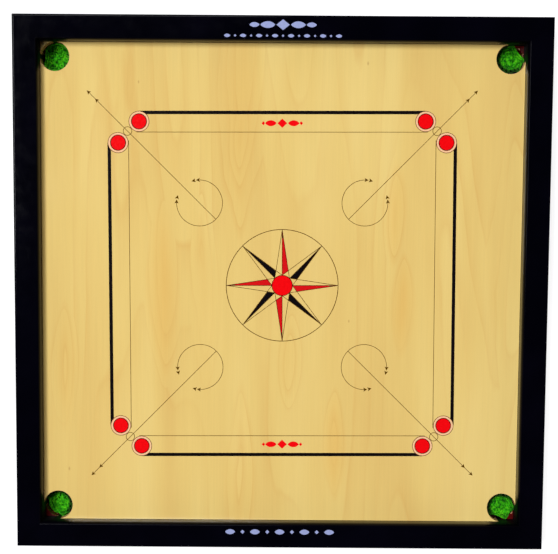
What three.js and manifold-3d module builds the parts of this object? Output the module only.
// A carrom board: a square plywood playing panel with a round pocket in each corner, let into a
// mitred frame of four lacquered rails. Ledges screwed inside the rails and two pairs of half-lapped
// battens carry the panel. A knitted net is tacked under each pocket.
// Millimetres, +Z up. The origin is the middle of the underside, level with what the board stands on.

import * as THREE from "three";
import { mergeVertices } from "three/addons/utils/BufferGeometryUtils.js";
import Module from "manifold-3d";

const wasm = await Module();
wasm.setup();

// Driving dimensions
const PLAY_WIDTH = 740; // between the inner faces of the rails
const RAIL_WIDTH = 38;
const RAIL_HEIGHT = 50;
const PANEL_TOP = 30; // the rails stand 20 above it
const PANEL_THICKNESS = 12;
const POCKET_DIAMETER = 44.5;
const GAP = 0.3; // clearance between neighbouring pieces

// Rails
const PLAY_HALF = PLAY_WIDTH / 2;
const FRAME_HALF = PLAY_HALF + RAIL_WIDTH;
const RAIL_TOP_ROUND = 3; // radius along the two top edges
const RAIL_FOOT_CHAMFER = 1;
const ROUND_SEGMENTS = 4; // per quarter turn

// Mitre keys: upright plates let into both rails across each mitre, from the underside
const KEY_LENGTH = 26;
const KEY_THICKNESS = 5;
const KEY_HEIGHT = 36;

// Pockets and the plywood panel
const POCKET_RADIUS = POCKET_DIAMETER / 2;
const POCKET_CENTRE = PLAY_HALF - POCKET_RADIUS; // each pocket just touches both rails
const PANEL_HALF = PLAY_HALF - GAP;
const PANEL_UNDERSIDE = PANEL_TOP - PANEL_THICKNESS;
const POCKET_SEGMENTS = 28;
const CORNER_SEGMENTS = 10;

// Ledges and corner blocks, under the edges of the panel
const LEDGE_WIDTH = 12;
const LEDGE_END_SEGMENTS = 6;
const SUPPORT_TOP = PANEL_UNDERSIDE - GAP;
const LEDGE_INNER = PANEL_HALF - LEDGE_WIDTH;

// Battens
const BATTEN_WIDTH = 30;
const BATTEN_FOOT = 3; // clear of the table
const BATTEN_OFFSET = PLAY_WIDTH / 6;
const BATTEN_HALF_LENGTH = LEDGE_INNER - GAP;
const LAP_LEVEL = (BATTEN_FOOT + SUPPORT_TOP) / 2;

// Nets, with their slack bunched in the bottom, as when the board lies on a table
const NET_RADIUS = POCKET_RADIUS - 0.35;
const NET_THICKNESS = 0.8;
const NET_FOOT = 0.8;
const NET_FOOT_ROUND = 8;
const NET_BED = 10.5; // top of the bunched slack, at its edge
const NET_BED_DISH = 1.5; // its middle lies this much lower
const NET_BED_ROUND = 3;
const NET_SEGMENTS = 24;
const HEM_RADIUS = 30;
const HEM_FROM = THREE.MathUtils.degToRad(166); // the hem lies on the side away from the corner
const HEM_TO = THREE.MathUtils.degToRad(284);

// Tacks
const TACKS_PER_NET = 4;
const TACK_CIRCLE = 26;
const TACK_FROM = THREE.MathUtils.degToRad(174);
const TACK_TO = THREE.MathUtils.degToRad(276);
const TACK = { headRadius: 2.6, headThickness: 0.8, shankRadius: 0.7, length: 8, point: 2 };
const TACK_SEGMENTS = 8;

// Screws
const SCREW = { headRadius: 3.6, headDepth: 2.2, shankRadius: 1.75, point: 4 };
const SCREW_SEGMENTS = 12;
const SCREW_CUTTER_PROUD = 1.5;
const LEDGE_SCREWS_PER_SIDE = 3;
const LEDGE_SCREW_LENGTH = 28;
const LEDGE_SCREW_LEVEL = 9;
const LEDGE_SCREW_SPACING = 250;
const LAP_SCREW_LENGTH = 22;

const lacquer = new THREE.MeshStandardMaterial({ color: 0x08080f, roughness: 0.12, metalness: 0 });
const birch = new THREE.MeshStandardMaterial({ color: 0xe6c87b, roughness: 0.3, metalness: 0 });
const maroon = new THREE.MeshStandardMaterial({ color: 0x45141a, roughness: 0.35, metalness: 0 });
const pine = new THREE.MeshStandardMaterial({ color: 0xcfa874, roughness: 0.7, metalness: 0 });
const knit = new THREE.MeshStandardMaterial({ color: 0x2aa63a, roughness: 0.9, metalness: 0 });
const steel = new THREE.MeshStandardMaterial({ color: 0xb4b8bd, roughness: 0.35, metalness: 1 });

// Merges shared corners and drops the triangles that a lathe leaves collapsed on its axis.
function toSolid(geometry) {
  const bare = geometry.clone();
  bare.deleteAttribute("normal");
  bare.deleteAttribute("uv");
  const merged = mergeVertices(bare, 1e-4);
  const corners = merged.index.array;
  const kept = [];
  for (let i = 0; i < corners.length; i += 3) {
    const [a, b, c] = corners.slice(i, i + 3);
    if (a !== b && b !== c && c !== a) {
      kept.push(a, b, c);
    }
  }
  const vertProperties = new Float32Array(merged.attributes.position.array);
  return new wasm.Manifold(new wasm.Mesh({ numProp: 3, vertProperties, triVerts: new Uint32Array(kept) }));
}

function toGeometry(solid) {
  const mesh = solid.getMesh();
  const geometry = new THREE.BufferGeometry();
  geometry.setAttribute("position", new THREE.BufferAttribute(mesh.vertProperties, 3));
  geometry.setIndex(new THREE.BufferAttribute(mesh.triVerts, 1));
  geometry.computeVertexNormals();
  return geometry;
}

function cut(geometry, cutters) {
  const solid = cutters.reduce((rest, cutter) => rest.subtract(toSolid(cutter)), toSolid(geometry));
  return toGeometry(solid);
}

function piece(name, geometry, material) {
  const mesh = new THREE.Mesh(geometry, material);
  mesh.name = name;
  return mesh;
}

function box(x, y, z) {
  return new THREE.BoxGeometry(x, y, z);
}

// Extrudes an outline in the XY plane between two heights.
function slab(shape, bottom, top, curveSegments = POCKET_SEGMENTS) {
  const geometry = new THREE.ExtrudeGeometry(shape, { depth: top - bottom, bevelEnabled: false, curveSegments });
  return geometry.translate(0, 0, bottom);
}

// A body turned about Z: profile is a list of [radius, height] that starts and ends on the axis.
function turned(profile, segments) {
  const points = profile.map(([radius, height]) => new THREE.Vector2(radius, height));
  return new THREE.LatheGeometry(points, segments).rotateX(Math.PI / 2);
}

// A countersunk wood screw along +Z with its head at the origin. Slack makes it the cutter for its
// own hole, which also stands proud of the surface that it cuts.
function screw(length, slack = 0) {
  const { headRadius, headDepth, shankRadius, point } = SCREW;
  const proud = slack > 0 ? SCREW_CUTTER_PROUD : 0;
  return turned(
    [
      [0, -proud],
      [headRadius + slack, -proud],
      [headRadius + slack, 0],
      [shankRadius + slack, headDepth],
      [shankRadius + slack, length - point],
      [0, length + slack],
    ],
    SCREW_SEGMENTS,
  );
}

// A flat-headed tack along +Z, the underside of its head at the origin.
function tack(slack = 0) {
  const { headRadius, headThickness, shankRadius, length, point } = TACK;
  return turned(
    [
      [0, -headThickness],
      [headRadius, -headThickness],
      [headRadius, 0],
      [shankRadius + slack, 0],
      [shankRadius + slack, length - point],
      [0, length + slack],
    ],
    TACK_SEGMENTS,
  );
}

// Where a side's ledge screws sit, on the south side: each points outwards, along -Y.
function placeLedgeScrew(object, index) {
  const x = (index - (LEDGE_SCREWS_PER_SIDE - 1) / 2) * LEDGE_SCREW_SPACING;
  return object.rotateX(Math.PI / 2).translate(x, -LEDGE_INNER - GAP, LEDGE_SCREW_LEVEL);
}

function ledgeScrewHoles() {
  return Array.from({ length: LEDGE_SCREWS_PER_SIDE }, (_, index) => {
    return placeLedgeScrew(screw(LEDGE_SCREW_LENGTH, GAP), index);
  });
}

// Plan positions of a net's tacks about its pocket centre, for the north-east pocket.
function tackSpots() {
  return Array.from({ length: TACKS_PER_NET }, (_, index) => {
    const angle = THREE.MathUtils.lerp(TACK_FROM, TACK_TO, index / (TACKS_PER_NET - 1));
    return [TACK_CIRCLE * Math.cos(angle), TACK_CIRCLE * Math.sin(angle)];
  });
}

// The key stands across the north-east mitre, thin along the mitre line.
function keyBlock(slack) {
  const middle = (PLAY_HALF + FRAME_HALF) / 2;
  const height = KEY_HEIGHT + 2 * slack;
  return box(KEY_LENGTH + 2 * slack, KEY_THICKNESS + 2 * slack, height)
    .rotateZ(-Math.PI / 4)
    .translate(middle, middle, KEY_HEIGHT / 2);
}

// South rail: its section is drawn from -1 to 1 along the sweep, and each end is then drawn out
// along X to a 45 degree mitre.
function railGeometry() {
  const low = RAIL_FOOT_CHAMFER;
  const round = RAIL_TOP_ROUND;
  const section = new THREE.Shape();
  section.moveTo(low, 0);
  section.lineTo(RAIL_WIDTH - low, 0);
  section.lineTo(RAIL_WIDTH, low);
  section.absarc(RAIL_WIDTH - round, RAIL_HEIGHT - round, round, 0, Math.PI / 2);
  section.absarc(round, RAIL_HEIGHT - round, round, Math.PI / 2, Math.PI);
  section.lineTo(0, low);
  const bar = new THREE.ExtrudeGeometry(section, {
    depth: 2,
    bevelEnabled: false,
    curveSegments: ROUND_SEGMENTS,
  });
  bar.translate(0, 0, -1);
  const spot = bar.attributes.position;
  for (let i = 0; i < spot.count; i += 1) {
    const inset = spot.getX(i); // 0 on the outer face, RAIL_WIDTH on the inner face
    const level = spot.getY(i);
    const reach = FRAME_HALF - inset - GAP * Math.SQRT1_2;
    spot.setXYZ(i, spot.getZ(i) * reach, inset - FRAME_HALF, level);
  }
  const keySlots = [keyBlock(GAP).rotateZ(-Math.PI / 2), keyBlock(GAP).rotateZ(Math.PI)];
  return cut(bar, [...keySlots, ...ledgeScrewHoles()]);
}

// South ledge: straight, with each end cut to the same circle as the pocket above it.
function ledgeGeometry() {
  const outer = PANEL_HALF - POCKET_CENTRE;
  const inner = LEDGE_INNER - POCKET_CENTRE;
  const outerAngle = Math.asin(outer / POCKET_RADIUS);
  const innerAngle = Math.asin(inner / POCKET_RADIUS);
  const shape = new THREE.Shape();
  const centre = POCKET_CENTRE;
  shape.absarc(centre, -centre, POCKET_RADIUS, Math.PI + outerAngle, Math.PI + innerAngle, true);
  shape.absarc(-centre, -centre, POCKET_RADIUS, -innerAngle, -outerAngle, true);
  return cut(slab(shape, 0, SUPPORT_TOP, LEDGE_END_SEGMENTS), ledgeScrewHoles());
}

// The corner of the frame that lies beyond the pocket's circle.
function cornerGeometry(bottom, top) {
  const angle = Math.acos((PANEL_HALF - POCKET_CENTRE) / POCKET_RADIUS);
  const shape = new THREE.Shape();
  shape.moveTo(PANEL_HALF, PANEL_HALF);
  shape.lineTo(POCKET_CENTRE + POCKET_RADIUS * Math.sin(angle), PANEL_HALF);
  shape.absarc(POCKET_CENTRE, POCKET_CENTRE, POCKET_RADIUS, Math.PI / 2 - angle, angle, true);
  return slab(shape, bottom, top, CORNER_SEGMENTS);
}

// The panel is a square with a round bite at each corner, and blind holes for the fastenings.
function panelGeometry() {
  const angle = Math.acos((PANEL_HALF - POCKET_CENTRE) / POCKET_RADIUS);
  const shape = new THREE.Shape();
  for (let corner = 0; corner < 4; corner += 1) {
    const turn = (corner * Math.PI) / 2;
    const diagonal = turn + Math.PI / 4;
    const reach = POCKET_CENTRE * Math.SQRT2;
    const x = reach * Math.cos(diagonal);
    const y = reach * Math.sin(diagonal);
    shape.absarc(x, y, POCKET_RADIUS, turn - angle, turn + Math.PI / 2 + angle, true);
  }
  const holes = [];
  for (let corner = 0; corner < 4; corner += 1) {
    for (const [x, y] of tackSpots()) {
      const hole = tack(GAP).translate(POCKET_CENTRE + x, POCKET_CENTRE + y, tackLevel());
      holes.push(hole.rotateZ((corner * Math.PI) / 2));
    }
  }
  for (const [x, y] of lapSpots()) {
    holes.push(screw(LAP_SCREW_LENGTH, GAP).translate(x, y, BATTEN_FOOT + GAP));
  }
  return cut(slab(shape, PANEL_UNDERSIDE, PANEL_TOP), holes);
}

function tackLevel() {
  return SUPPORT_TOP - NET_THICKNESS - GAP;
}

// The four points where the battens cross.
function lapSpots() {
  const spots = [];
  for (const x of [-BATTEN_OFFSET, BATTEN_OFFSET]) {
    for (const y of [-BATTEN_OFFSET, BATTEN_OFFSET]) {
      spots.push([x, y]);
    }
  }
  return spots;
}

// A batten along X at y = offset, halved at both crossings on its lower or its upper side.
function battenGeometry(offset, halvedBelow) {
  const bottom = halvedBelow ? BATTEN_FOOT - GAP : LAP_LEVEL - GAP / 2;
  const top = halvedBelow ? LAP_LEVEL + GAP / 2 : SUPPORT_TOP + GAP;
  const height = SUPPORT_TOP - BATTEN_FOOT;
  const bar = box(2 * BATTEN_HALF_LENGTH, BATTEN_WIDTH, height);
  bar.translate(0, offset, BATTEN_FOOT + height / 2);
  const cutters = [];
  for (const x of [-BATTEN_OFFSET, BATTEN_OFFSET]) {
    const halving = box(BATTEN_WIDTH + 2 * GAP, BATTEN_WIDTH + 2 * GAP, top - bottom);
    cutters.push(halving.translate(x, offset, (bottom + top) / 2));
    cutters.push(screw(LAP_SCREW_LENGTH, GAP).translate(x, offset, BATTEN_FOOT + GAP));
  }
  return cut(bar, cutters);
}

// A quarter round in a turned profile, from the lower end to the upper end.
function quarterRound(centreRadius, centreLevel, radius) {
  return Array.from({ length: ROUND_SEGMENTS + 1 }, (_, index) => {
    const angle = (index / ROUND_SEGMENTS) * (Math.PI / 2);
    return [centreRadius + radius * Math.sin(angle), centreLevel - radius * Math.cos(angle)];
  });
}

// A round bag, filled below by its own slack, with a hem plate where the panel is overhead.
function netGeometry() {
  const outer = NET_RADIUS;
  const inner = outer - NET_THICKNESS;
  const bag = turned(
    [
      [0, NET_FOOT],
      ...quarterRound(outer - NET_FOOT_ROUND, NET_FOOT + NET_FOOT_ROUND, NET_FOOT_ROUND),
      [outer, SUPPORT_TOP],
      [inner, SUPPORT_TOP],
      ...quarterRound(inner - NET_BED_ROUND, NET_BED + NET_BED_ROUND, NET_BED_ROUND).reverse(),
      [0, NET_BED - NET_BED_DISH],
    ],
    NET_SEGMENTS,
  );
  const hemShape = new THREE.Shape();
  hemShape.absarc(0, 0, HEM_RADIUS, HEM_FROM, HEM_TO);
  hemShape.absarc(0, 0, (inner + outer) / 2, HEM_TO, HEM_FROM, true);
  const hem = slab(hemShape, SUPPORT_TOP - NET_THICKNESS, SUPPORT_TOP, NET_SEGMENTS / 2);
  const whole = toGeometry(toSolid(bag).add(toSolid(hem)));
  const holes = tackSpots().map(([x, y]) => tack(GAP).translate(x, y, tackLevel()));
  return cut(whole, holes);
}

// The rail, ledge and screws of one side, drawn on the south side and turned into place.
function sideGroup(side, turn) {
  const group = new THREE.Group();
  group.rotation.z = turn;
  group.add(piece(`rail_${side}`, railGeometry(), lacquer));
  group.add(piece(`ledge_${side}`, ledgeGeometry(), maroon));
  for (let index = 0; index < LEDGE_SCREWS_PER_SIDE; index += 1) {
    const geometry = placeLedgeScrew(screw(LEDGE_SCREW_LENGTH), index);
    group.add(piece(`ledge_screw_${side}_${index + 1}`, geometry, steel));
  }
  return group;
}

// The mitre key, corner block, net and tacks of one corner, drawn at the north-east.
function cornerGroup(corner, turn) {
  const group = new THREE.Group();
  group.rotation.z = turn;
  group.add(piece(`mitre_key_${corner}`, keyBlock(0), pine));
  group.add(piece(`corner_block_${corner}`, cornerGeometry(0, SUPPORT_TOP), maroon));
  const pocket = new THREE.Group();
  pocket.position.set(POCKET_CENTRE, POCKET_CENTRE, 0);
  pocket.add(piece(`net_${corner}`, netGeometry(), knit));
  tackSpots().forEach(([x, y], index) => {
    const mesh = piece(`tack_${corner}_${index + 1}`, tack(), steel);
    mesh.position.set(x, y, tackLevel());
    pocket.add(mesh);
  });
  group.add(pocket);
  return group;
}

function battenGroup() {
  const group = new THREE.Group();
  for (const [name, offset] of [["south", -BATTEN_OFFSET], ["north", BATTEN_OFFSET]]) {
    group.add(piece(`batten_${name}`, battenGeometry(offset, true), pine));
  }
  for (const [name, offset] of [["west", BATTEN_OFFSET], ["east", -BATTEN_OFFSET]]) {
    const mesh = piece(`batten_${name}`, battenGeometry(offset, false), pine);
    mesh.rotation.z = Math.PI / 2;
    group.add(mesh);
  }
  lapSpots().forEach(([x, y], index) => {
    const mesh = piece(`lap_screw_${index + 1}`, screw(LAP_SCREW_LENGTH), steel);
    mesh.position.set(x, y, BATTEN_FOOT + GAP);
    group.add(mesh);
  });
  return group;
}

const board = new THREE.Group();
["south", "east", "north", "west"].forEach((side, index) => {
  board.add(sideGroup(side, (index * Math.PI) / 2));
});
["ne", "nw", "sw", "se"].forEach((corner, index) => {
  board.add(cornerGroup(corner, (index * Math.PI) / 2));
});
board.add(battenGroup());
board.add(piece("playing_panel", panelGeometry(), birch));

// Beyond the pocket's edge the panel's corner is a loose chip; only the north-west one is there.
const chip = piece("panel_chip_nw", cornerGeometry(PANEL_UNDERSIDE, PANEL_TOP), birch);
chip.rotation.z = Math.PI / 2;
board.add(chip);

export default board;
